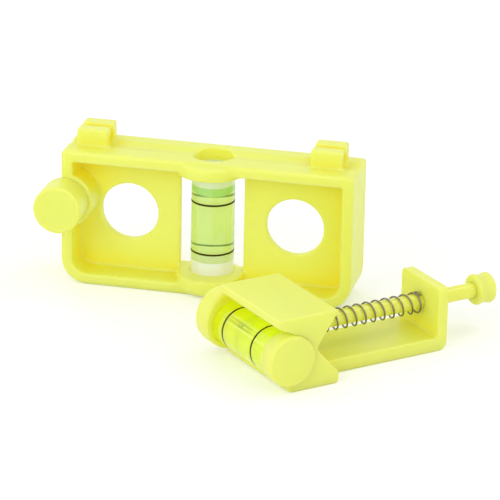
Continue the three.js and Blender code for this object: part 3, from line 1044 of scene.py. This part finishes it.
@dataclass
class StringLevel:
    """The level that clips on the bow string: frame, knob and upright vial."""

    length: float = 68
    height: float = 32
    depth: float = 15
    rim: float = 2.6
    web: float = 2
    foot_round: float = 6
    head_round: float = 0.8
    edge: float = 0.6
    window: float = 15
    hole_radius: float = 6.7
    hole_spacing: float = 38.8
    hole_height: float = 16.5
    collar_radius: float = 7.7
    collar_forward: float = 2.2
    collar_round: float = 2
    foot_lift: float = 0.3
    foot_top: float = 4.4
    head_depth: float = 3.6
    head_step: float = 0.5
    head_collar_round: float = 0.7
    seat_depth: float = 2
    groove_width: float = 5
    groove_depth: float = 0.7
    string_offset: float = 0.9
    string_radius: float = 1.7
    clip_spacing: float = 54.5
    clip_shift: float = -0.6
    clip_length: float = 7.2
    clip_mouth: float = 1.6
    front_prong: float = 3.3
    rear_prong: float = 3.6
    clip_height: float = 4.2
    boss_radius: float = 6.4
    knob_height: float = 20
    knob_inset: float = 1
    knob_radius: float = 5.55
    knob_length: float = 7.2
    knob_round: float = 0.6
    knob_sunk: float = 0.15
    dish_rim: float = 0.8
    dish_edge: float = 1.2
    dish_edge_depth: float = 0.14
    dish_depth: float = 0.16
    stud_radius: float = 1.5
    stud_length: float = 5
    bore: float = 5.1
    lip_height: float = 29.4
    lip_radius: float = 4.65
    least_round: float = 0.05
    grain: float = 0.3
    softness: int = 5
    keep: float = 0.55

    def outline(self, inset: float) -> list[Point]:
        """Gives the frame's outline, drawn in from its edge by an inset."""
        side, head = self.length / 2 - inset, self.height - inset
        foot = self.foot_round - inset
        top = max(self.head_round - inset, self.least_round)
        return (
            arc((side - foot, inset + foot), foot, -90, 0, 16)
            + arc((side - top, head - top), top, 0, 90, 4)
            + arc((-side + top, head - top), top, 90, 180, 4)
            + arc((-side + foot, inset + foot), foot, 180, 270, 16)
        )

    def collar(self, low: float, high: float, round_low: bool) -> Thing:
        """Builds a round collar that stands proud of the frame's front.

        Args:
            low: Its lower face's height.
            high: Its upper face's height.
            round_low: Whether the lower edge is the rounded one, and otherwise the upper.

        Returns:
            The collar.
        """
        radius, soft = self.collar_radius, self.collar_round if round_low else self.head_collar_round
        if round_low:
            edge = arc((radius - soft, low + soft), soft, -90, 0, 8) + [(radius, high)]
        else:
            edge = [(radius, low)] + arc((radius - soft, high - soft), soft, 0, 90, 8)
        profile = [(0, low)] + edge + [(0, high)]
        return turned(profile, Axis.Z, (0, -self.collar_forward, 0), FINE_SIDES)

    def clip(self, middle: float) -> tuple[Thing, Thing]:
        """Builds one clip's two prongs, and the round seat that is cut from them."""
        mouth_front = self.string_offset - self.clip_mouth / 2
        mouth_rear = self.string_offset + self.clip_mouth / 2
        root, lip = self.height - self.rim / 2, self.height + self.clip_height
        seat = self.height - self.groove_depth + self.string_radius
        outline = [
            (mouth_front - self.front_prong, root), (mouth_rear + self.rear_prong, root),
            (mouth_rear + self.rear_prong, lip), (mouth_rear, lip), (mouth_rear, seat),
            (mouth_front, seat), (mouth_front, lip), (mouth_front - self.front_prong, lip),
        ]
        start, end = middle - self.clip_length / 2, middle + self.clip_length / 2
        prongs = prism(outline, Axis.X, start, end)
        middle_line = (0, self.string_offset, seat)
        hollow = bar(self.string_radius, Axis.X, middle_line, start - OVERRUN, end + OVERRUN, 48)
        return prongs, hollow

    def frame(self) -> Thing:
        """Builds the frame's moulding."""
        half, beyond, web = self.depth / 2, self.depth / 2 + OVERRUN, self.web / 2
        body = prism(self.outline(0), Axis.Y, -half, half, self.edge)
        for start, end in ((-beyond, -web), (web, beyond)):
            body = joined(body, prism(self.outline(self.rim), Axis.Y, start, end), cut=True)
        side = self.window / 2
        window = block((-side, -beyond, self.rim), (side, beyond, self.height - self.rim))
        body = joined(body, window, cut=True)
        for way in (-1, 1):
            centre = (way * self.hole_spacing / 2, 0, self.hole_height)
            body = joined(body, bar(self.hole_radius, Axis.Y, centre, -beyond, beyond), cut=True)
        body = joined(body, self.collar(self.foot_lift, self.foot_top, True), cut=False)
        head = self.collar(self.height - self.head_depth, self.height - self.head_step, False)
        body = joined(body, head, cut=False)
        outer = -self.length / 2
        boss_place = (outer + self.knob_inset, 0, self.knob_height)
        boss = bar(self.boss_radius, Axis.Y, boss_place, -half, half)
        outside = block(
            (outer - self.boss_radius - OVERRUN, -beyond, 0), (outer + self.edge, beyond, self.height)
        )
        body = joined(body, joined(boss, outside, cut=True), cut=False)
        half_groove = self.groove_width / 2
        radius = (half_groove ** 2 + self.groove_depth ** 2) / (2 * self.groove_depth)
        reach = self.length / 2 + OVERRUN
        centre = (0, self.string_offset, self.height - self.groove_depth + radius)
        body = joined(body, bar(radius, Axis.X, centre, -reach, reach), cut=True)
        for way in (-1, 1):
            prongs, hollow = self.clip(self.clip_shift + way * self.clip_spacing / 2)
            body = joined(joined(body, prongs, cut=False), hollow, cut=True)
        floor = self.foot_top - self.seat_depth
        for radius, top in ((self.bore, self.lip_height), (self.lip_radius, self.height + OVERRUN)):
            body = joined(body, bar(radius, Axis.Z, (0, 0, 0), floor, top), cut=True)
        return moulded(body, self.grain, self.softness, self.keep)

    def knob(self) -> Thing:
        """Builds the round knob with its soft edge, a shallow dish in its face, and its stud."""
        radius, length, soft = self.knob_radius, self.knob_length, self.knob_round
        stud, sunk = self.stud_radius, self.knob_sunk
        return turned(
            [(0, -self.stud_length), (stud, -self.stud_length), (stud, -sunk), (radius, -sunk)]
            + arc((radius - soft, length - soft), soft, 0, 90, 8)
            + [(radius - self.dish_rim, length), (radius - self.dish_edge, length - self.dish_edge_depth),
               (0, length - self.dish_depth)],
            Axis.Z, (0, 0, 0), FINE_SIDES,
        )

    def build(self, finishes: Finishes) -> None:
        """Builds and dresses the level.

        Args:
            finishes: The object's finishes.
        """
        finish_piece(
            self.frame(), "string_level_moulding", ["string_level_frame"], finishes.yellow
        )
        back = (-self.length / 2 + self.knob_inset, -self.depth / 2, self.knob_height)
        facing = Matrix.Translation(back) @ Matrix.Rotation(math.pi / 2, 4, "X")
        finish_piece(self.knob(), "end_knob_moulding", ["end_knob"], finishes.turned, facing)
        standing = Matrix.Translation((0, 0, self.foot_top - self.seat_depth + END_PLAY))
        Vial("upright_vial", plug=4.4).build(standing, finishes, lying=False)


@dataclass
class ArrowLevel:
    """The level that clamps on an arrow: frame, lying vial, plunger, spring and knob."""

    turn: float = 43.8
    corner: Point = (39.75, -48.5)
    width: float = 25
    height: float = 17
    foot: float = 12.7
    corner_round: float = 1.5
    slab: float = 15
    slab_edge: float = 1.7
    slab_undercut: float = 5.4
    toe: float = 0.65
    toe_height: float = 2.5
    toe_round: float = 1
    notch_depth: float = 5
    notch_half: float = 7.2
    notch_round: float = 1.5
    notch_sink: float = 0.4
    notch_overcut: float = 0.3
    push_height: float = 9.3
    vial_back: float = 11.8
    vial_height: float = 7.5
    vial_radius: float = 5
    vial_length: float = 26.6
    disc_radius: float = 6.8
    disc_raise: float = 0.75
    disc_depth: float = 5
    disc_floor: float = 0.9
    disc_round: float = 0.5
    cap_radius: float = 5.7
    cap_proud: float = 1
    cap_depth: float = 4.1
    cap_floor: float = 2.75
    cap_seam: float = 0.02
    cap_seat_play: float = 0.3
    cap_round: float = 0.4
    cap_mouth_edge: float = 0.15
    cap_dish_rim: float = 0.9
    cap_dish_edge: float = 1.2
    cap_dish_edge_depth: float = 0.08
    cap_dish_depth: float = 0.1
    rail_reach: float = 31.5
    rail_width: float = 15.4
    rail_thickness: float = 3.2
    rail_root: float = 2
    wall_thickness: float = 2.5
    wall_height: float = 14.8
    wall_round: float = 2
    near_shoulder: float = 1.3
    far_shoulder: float = 1.2
    rod_radius: float = 1.75
    rod_end: float = 46
    head_radius: float = 4
    head_tip: float = 1.2
    head_back: float = 0.4
    head_clearance: float = 0.3
    head_edge: float = 0.15
    head_bevel: float = 0.1
    rod_root: float = 0.2
    rod_edge: float = 0.3
    spring_hang: float = 0.2
    pull: float = 8
    knob_radius: float = 3.5
    knob_start: float = 43
    knob_length: float = 4.5
    knob_round: float = 0.7
    knob_waist: float = 0.35
    grain: float = 0.22
    softness: int = 9
    keep: float = 0.6

    @property
    def place(self) -> Matrix:
        """Where the level's own frame lies."""
        turn = Matrix.Rotation(math.radians(self.turn), 4, "Z")
        return Matrix.Translation((*self.corner, 0)) @ turn

    @property
    def vial_start(self) -> float:
        """How far behind the front face the vial starts."""
        return self.cap_floor - self.cap_proud + END_PLAY

    def block_outline(self) -> list[Point]:
        """Gives the block's outline: foot, notch, and the slab that reaches over the vial."""
        return rounded([
            (-self.foot, 0, self.corner_round), (self.toe, 0, self.toe_round),
            (self.toe, self.toe_height, self.toe_round / 2),
            (-self.notch_depth - self.notch_overcut, self.push_height - self.notch_sink, self.notch_round),
            (0, self.push_height + self.notch_half, 0), (0, self.height, 0), (-self.slab, self.height, 0),
            (-self.slab, self.height - self.slab_edge, 0),
            (-self.slab + self.slab_undercut, self.vial_height + self.vial_radius + PLAY, 0),
            (-self.vial_back, self.vial_height, 0), (-self.foot, self.vial_height - self.vial_radius, 0),
        ])

    def rail_outline(self) -> list[Point]:
        """Gives the outline of the rail and the end wall."""
        reach, soft = self.rail_reach, self.wall_round
        return (
            [(-self.rail_root, 0)]
            + arc((reach - soft, soft), soft, -90, 0, 10)
            + [(reach, self.wall_height), (reach - self.wall_thickness, self.wall_height),
               (reach - self.wall_thickness, self.rail_thickness), (-self.rail_root, self.rail_thickness)]
        )

    def shoulder(self, edge: float, way: int, radius: float) -> Thing:
        """Builds what is cut from one upper corner of the end wall to round it.

        Args:
            edge: Where the wall's side lies across.
            way: 1 where the wall lies on the side of smaller values, and otherwise -1.
            radius: The corner's radius.

        Returns:
            The solid to cut away.
        """
        centre = edge - way * radius
        round_off = [
            (centre + way * (spot - centre), up)
            for spot, up in arc((centre, self.wall_height - radius), radius, 0, 90, 10)
        ]
        outline = round_off + [
            (centre, self.wall_height + OVERRUN), (edge + way, self.wall_height + OVERRUN),
            (edge + way, self.wall_height - radius),
        ]
        start, end = self.rail_reach - self.wall_thickness - OVERRUN, self.rail_reach + OVERRUN
        return prism(outline, Axis.X, start, end)

    def frame(self) -> Thing:
        """Builds the frame's moulding in the level's own frame."""
        side = (self.width - self.rail_width) / 2
        body = prism(self.block_outline(), Axis.Y, 0, self.width)
        body = joined(body, prism(self.rail_outline(), Axis.Y, side, side + self.rail_width), cut=False)
        body = joined(body, self.shoulder(side, -1, self.near_shoulder), cut=True)
        body = joined(body, self.shoulder(side + self.rail_width, 1, self.far_shoulder), cut=True)
        seat_end = self.vial_start + self.vial_length + END_PLAY
        axis = (-self.vial_back, 0, self.vial_height)
        start = seat_end + self.disc_floor - self.disc_depth
        end = start + self.disc_depth
        raised = (axis[0], 0, axis[2] + self.disc_raise)
        radius, soft = self.disc_radius, self.disc_round
        disc = turned(
            [(0, start)] + arc((radius - soft, start + soft), soft, -90, 0, 6)
            + arc((radius - soft, end - soft), soft, 0, 90, 6) + [(0, end)],
            Axis.Y, raised, FINE_SIDES,
        )
        body = joined(body, disc, cut=False)
        bore = bar(self.vial_radius + PLAY, Axis.Y, axis, -OVERRUN, seat_end)
        body = joined(body, bore, cut=True)
        push = (0, self.width / 2, self.push_height)
        hole = bar(self.rod_radius + PLAY, Axis.X, push, 0, self.rail_reach + OVERRUN, 48)
        body = moulded(joined(body, hole, cut=True), self.grain, self.softness, self.keep)
        cap_end = self.cap_depth - self.cap_proud + self.cap_seat_play
        seat = bar(self.cap_radius + self.cap_seam, Axis.Y, axis, -OVERRUN, cap_end)
        return joined(body, seat, cut=True)

    def cap(self) -> Thing:
        """Builds the cap at the vial's near end, its mouth above."""
        radius, inside = self.cap_radius, self.vial_radius + PLAY
        soft, mouth = self.cap_round, self.cap_mouth_edge
        return turned(
            [(0, self.cap_dish_depth), (radius - self.cap_dish_edge, self.cap_dish_edge_depth),
             (radius - self.cap_dish_rim, 0)]
            + arc((radius - soft, soft), soft, -90, 0, 8)
            + [(radius, self.cap_depth - mouth), (radius - mouth, self.cap_depth),
               (inside, self.cap_depth), (inside, self.cap_floor), (0, self.cap_floor)],
            Axis.Z, (0, 0, 0), FINE_SIDES,
        )

    def clear_of_notch(self, radius: float) -> float:
        """Gives how far along the push axis the head may reach at a radius."""
        return -self.notch_depth + radius * self.notch_depth / self.notch_half + self.head_clearance

    def plunger(self) -> Thing:
        """Builds the plunger's coned head and its rod along X."""
        soft, root = self.head_edge, self.rod_root
        tip, head = self.clear_of_notch(self.head_tip), self.clear_of_notch(self.head_radius) + soft
        return turned(
            [(0, tip), (self.head_tip - root, tip), (self.head_tip, tip + soft),
             (self.head_radius - self.head_bevel, head), (self.head_radius, head + soft),
             (self.head_radius, self.head_back - soft), (self.head_radius - soft, self.head_back),
             (self.rod_radius + root, self.head_back), (self.rod_radius, self.head_back + root),
             (self.rod_radius, self.rod_end - self.rod_edge),
             (self.rod_radius - self.rod_edge, self.rod_end), (0, self.rod_end)],
            Axis.X, (0, 0, 0), 64,
        )

    def pull_knob(self) -> Thing:
        """Builds the knob on the rod's end, with a waist for the fingers."""
        radius, soft = self.knob_radius, self.knob_round
        start, end = self.knob_start, self.knob_start + self.knob_length
        inside, floor = self.rod_radius + PLAY, self.rod_end + PLAY
        return turned(
            [(inside, start)] + arc((radius - soft, start + soft), soft, -90, 0, 6)
            + [(radius - self.knob_waist, (start + end) / 2)]
            + arc((radius - soft, end - soft), soft, 0, 90, 6)
            + [(0, end), (0, floor), (inside, floor)],
            Axis.X, (0, 0, 0), 96,
        )

    def build(self, finishes: Finishes) -> None:
        """Builds and dresses the level.

        Args:
            finishes: The object's finishes.
        """
        place = self.place
        cap = place @ Matrix.Translation((-self.vial_back, -self.cap_proud, self.vial_height))
        cap = cap @ Matrix.Rotation(-math.pi / 2, 4, "X")
        push = place @ Matrix.Translation((0, self.width / 2, self.push_height))
        finish_piece(
            self.frame(), "arrow_level_moulding", ["arrow_level_frame"], finishes.yellow, place
        )
        finish_piece(
            self.cap(), "arrow_vial_cap_moulding", ["arrow_vial_cap"], finishes.turned, cap
        )
        lying = place @ Matrix.Translation((-self.vial_back, self.vial_start, self.vial_height))
        lying = lying @ Matrix.Rotation(-math.pi / 2, 4, "X") @ Matrix.Rotation(math.pi, 4, "Z")
        Vial("arrow_vial").build(lying, finishes, lying=True)
        finish_piece(
            self.plunger(), "plunger_moulding", ["plunger"], finishes.polished, push,
            Body.PLUNGER,
        )
        finish_piece(
            self.pull_knob(), "plunger_knob_moulding", ["plunger_knob"], finishes.turned,
            push, Body.PLUNGER,
        )
        self.spring(push, finishes)

    def spring(self, push: Matrix, finishes: Finishes) -> None:
        """Builds the spring on the push axis.

        Args:
            push: Where the push axis lies.
            finishes: The object's finishes.
        """
        wound = WoundSpring()
        hung = push @ Matrix.Translation((0, 0, -self.spring_hang))
        steel = finishes.steel
        piece = finish_piece(
            wound.build(steel), "plunger_spring_wire", ["plunger_spring"], steel, hung
        )
        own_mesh(piece)


# Stage


@dataclass(frozen=True)
class Lamp:
    """A soft round lamp that faces the object, in metres and watts."""

    name: str
    spot: Place
    size: float
    power: float
    target: Place = (0.02, -0.02, 0.01)

    def build(self) -> None:
        """Hangs the lamp."""
        data = bpy.data.lights.new(self.name, "AREA")
        data.shape = "DISK"
        data.size = self.size
        data.energy = self.power
        lamp = bpy.data.objects.new(self.name, data)
        lamp.location = self.spot
        aim = Vector(self.target) - Vector(self.spot)
        lamp.rotation_euler = aim.to_track_quat("-Z", "Y").to_euler()
        bpy.context.scene.collection.objects.link(lamp)


@dataclass
class Stage:
    """The white ground, the soft light and the photograph's camera."""

    azimuth: float = 0.229778
    elevation: float = 0.367299
    roll: float = 0.018625
    distance: float = 800
    target: Place = (7.6095, -7.5, 9.9402)
    focal_pixels: float = 3525.693
    centre: Point = (237.0558, 259.4952)
    picture: float = 500
    sensor: float = 36
    ground_reach: float = 3
    ground_drop: float = 0.00002
    daylight: float = 0.67
    seen_daylight: float = 0.33
    clip: Point = (0.01, 20)
    lamps: tuple[Lamp, ...] = (
        Lamp("key lamp", (-0.35, -0.85, 0.5), 0.6, 2.2),
        Lamp("fill lamp", (0.8, -0.6, 0.4), 0.8, 1.3),
        Lamp("side lamp", (-0.9, -0.1, 0.4), 0.6, 0.8),
        Lamp("top lamp", (0.42, 0.25, 0.85), 0.4, 0.8),
        Lamp("back lamp", (-0.55, 0.73, 0.67), 0.35, 0.6),
    )

    def camera(self) -> None:
        """Places the camera from the fitted angles, distance and centre."""
        turn, rise = self.azimuth, self.elevation
        back = Vector((math.sin(turn) * math.cos(rise), -math.cos(turn) * math.cos(rise), math.sin(rise)))
        right = (-back).cross(Vector((0, 0, 1))).normalized()
        up = right.cross(-back)
        across = math.cos(self.roll) * right + math.sin(self.roll) * up
        above = -math.sin(self.roll) * right + math.cos(self.roll) * up
        data = bpy.data.cameras.new("camera")
        data.sensor_width = self.sensor
        data.lens = self.focal_pixels * self.sensor / self.picture
        data.shift_x = (self.picture / 2 - self.centre[0]) / self.picture
        data.shift_y = (self.centre[1] - self.picture / 2) / self.picture
        data.clip_start, data.clip_end = self.clip
        camera = bpy.data.objects.new("camera", data)
        spot = (Vector(self.target) + back * self.distance) * MM
        turned_to = Matrix((across, above, back)).transposed().to_4x4()
        camera.matrix_world = Matrix.Translation(spot) @ turned_to
        bpy.context.scene.collection.objects.link(camera)
        bpy.context.scene.camera = camera

    def ground(self) -> None:
        """Lays the white ground."""
        reach = self.ground_reach
        corners = [(-reach, -reach, 0), (reach, -reach, 0), (reach, reach, 0), (-reach, reach, 0)]
        floor = mesh_object("ground", corners, [(0, 1, 2, 3)])
        floor.location.z = -self.ground_drop
        floor.data.materials.append(PaleGround().build())

    def world(self) -> None:
        """Sets the white surroundings: plain light on the object, white to whoever looks."""
        world = bpy.data.worlds.new("white room")
        bpy.context.scene.world = world
        world.use_nodes = True
        tree = Tree(world.node_tree)
        world.node_tree.nodes.clear()
        looked_at = tree.math("MULTIPLY", tree.seen(), self.seen_daylight)
        strength = tree.math("ADD", looked_at, self.daylight)
        sky = tree.node("ShaderNodeBackground", {"Color": (1, 1, 1), "Strength": strength})
        tree.node("ShaderNodeOutputWorld", {"Surface": sky})

    def build(self) -> None:
        """Builds the whole stage."""
        self.camera()
        self.ground()
        self.world()
        for lamp in self.lamps:
            lamp.build()
        bpy.context.scene.view_settings.view_transform = "Standard"
        log.info("stage: camera, ground, world and %d lamps", len(self.lamps))


def main() -> None:
    """Builds the stage and both levels."""
    logging.basicConfig(level=logging.INFO, format="%(name)s: %(message)s")
    Stage().build()
    finishes = Finishes()
    StringLevel().build(finishes)
    ArrowLevel().build(finishes)


if __name__ == "__main__":
    main()
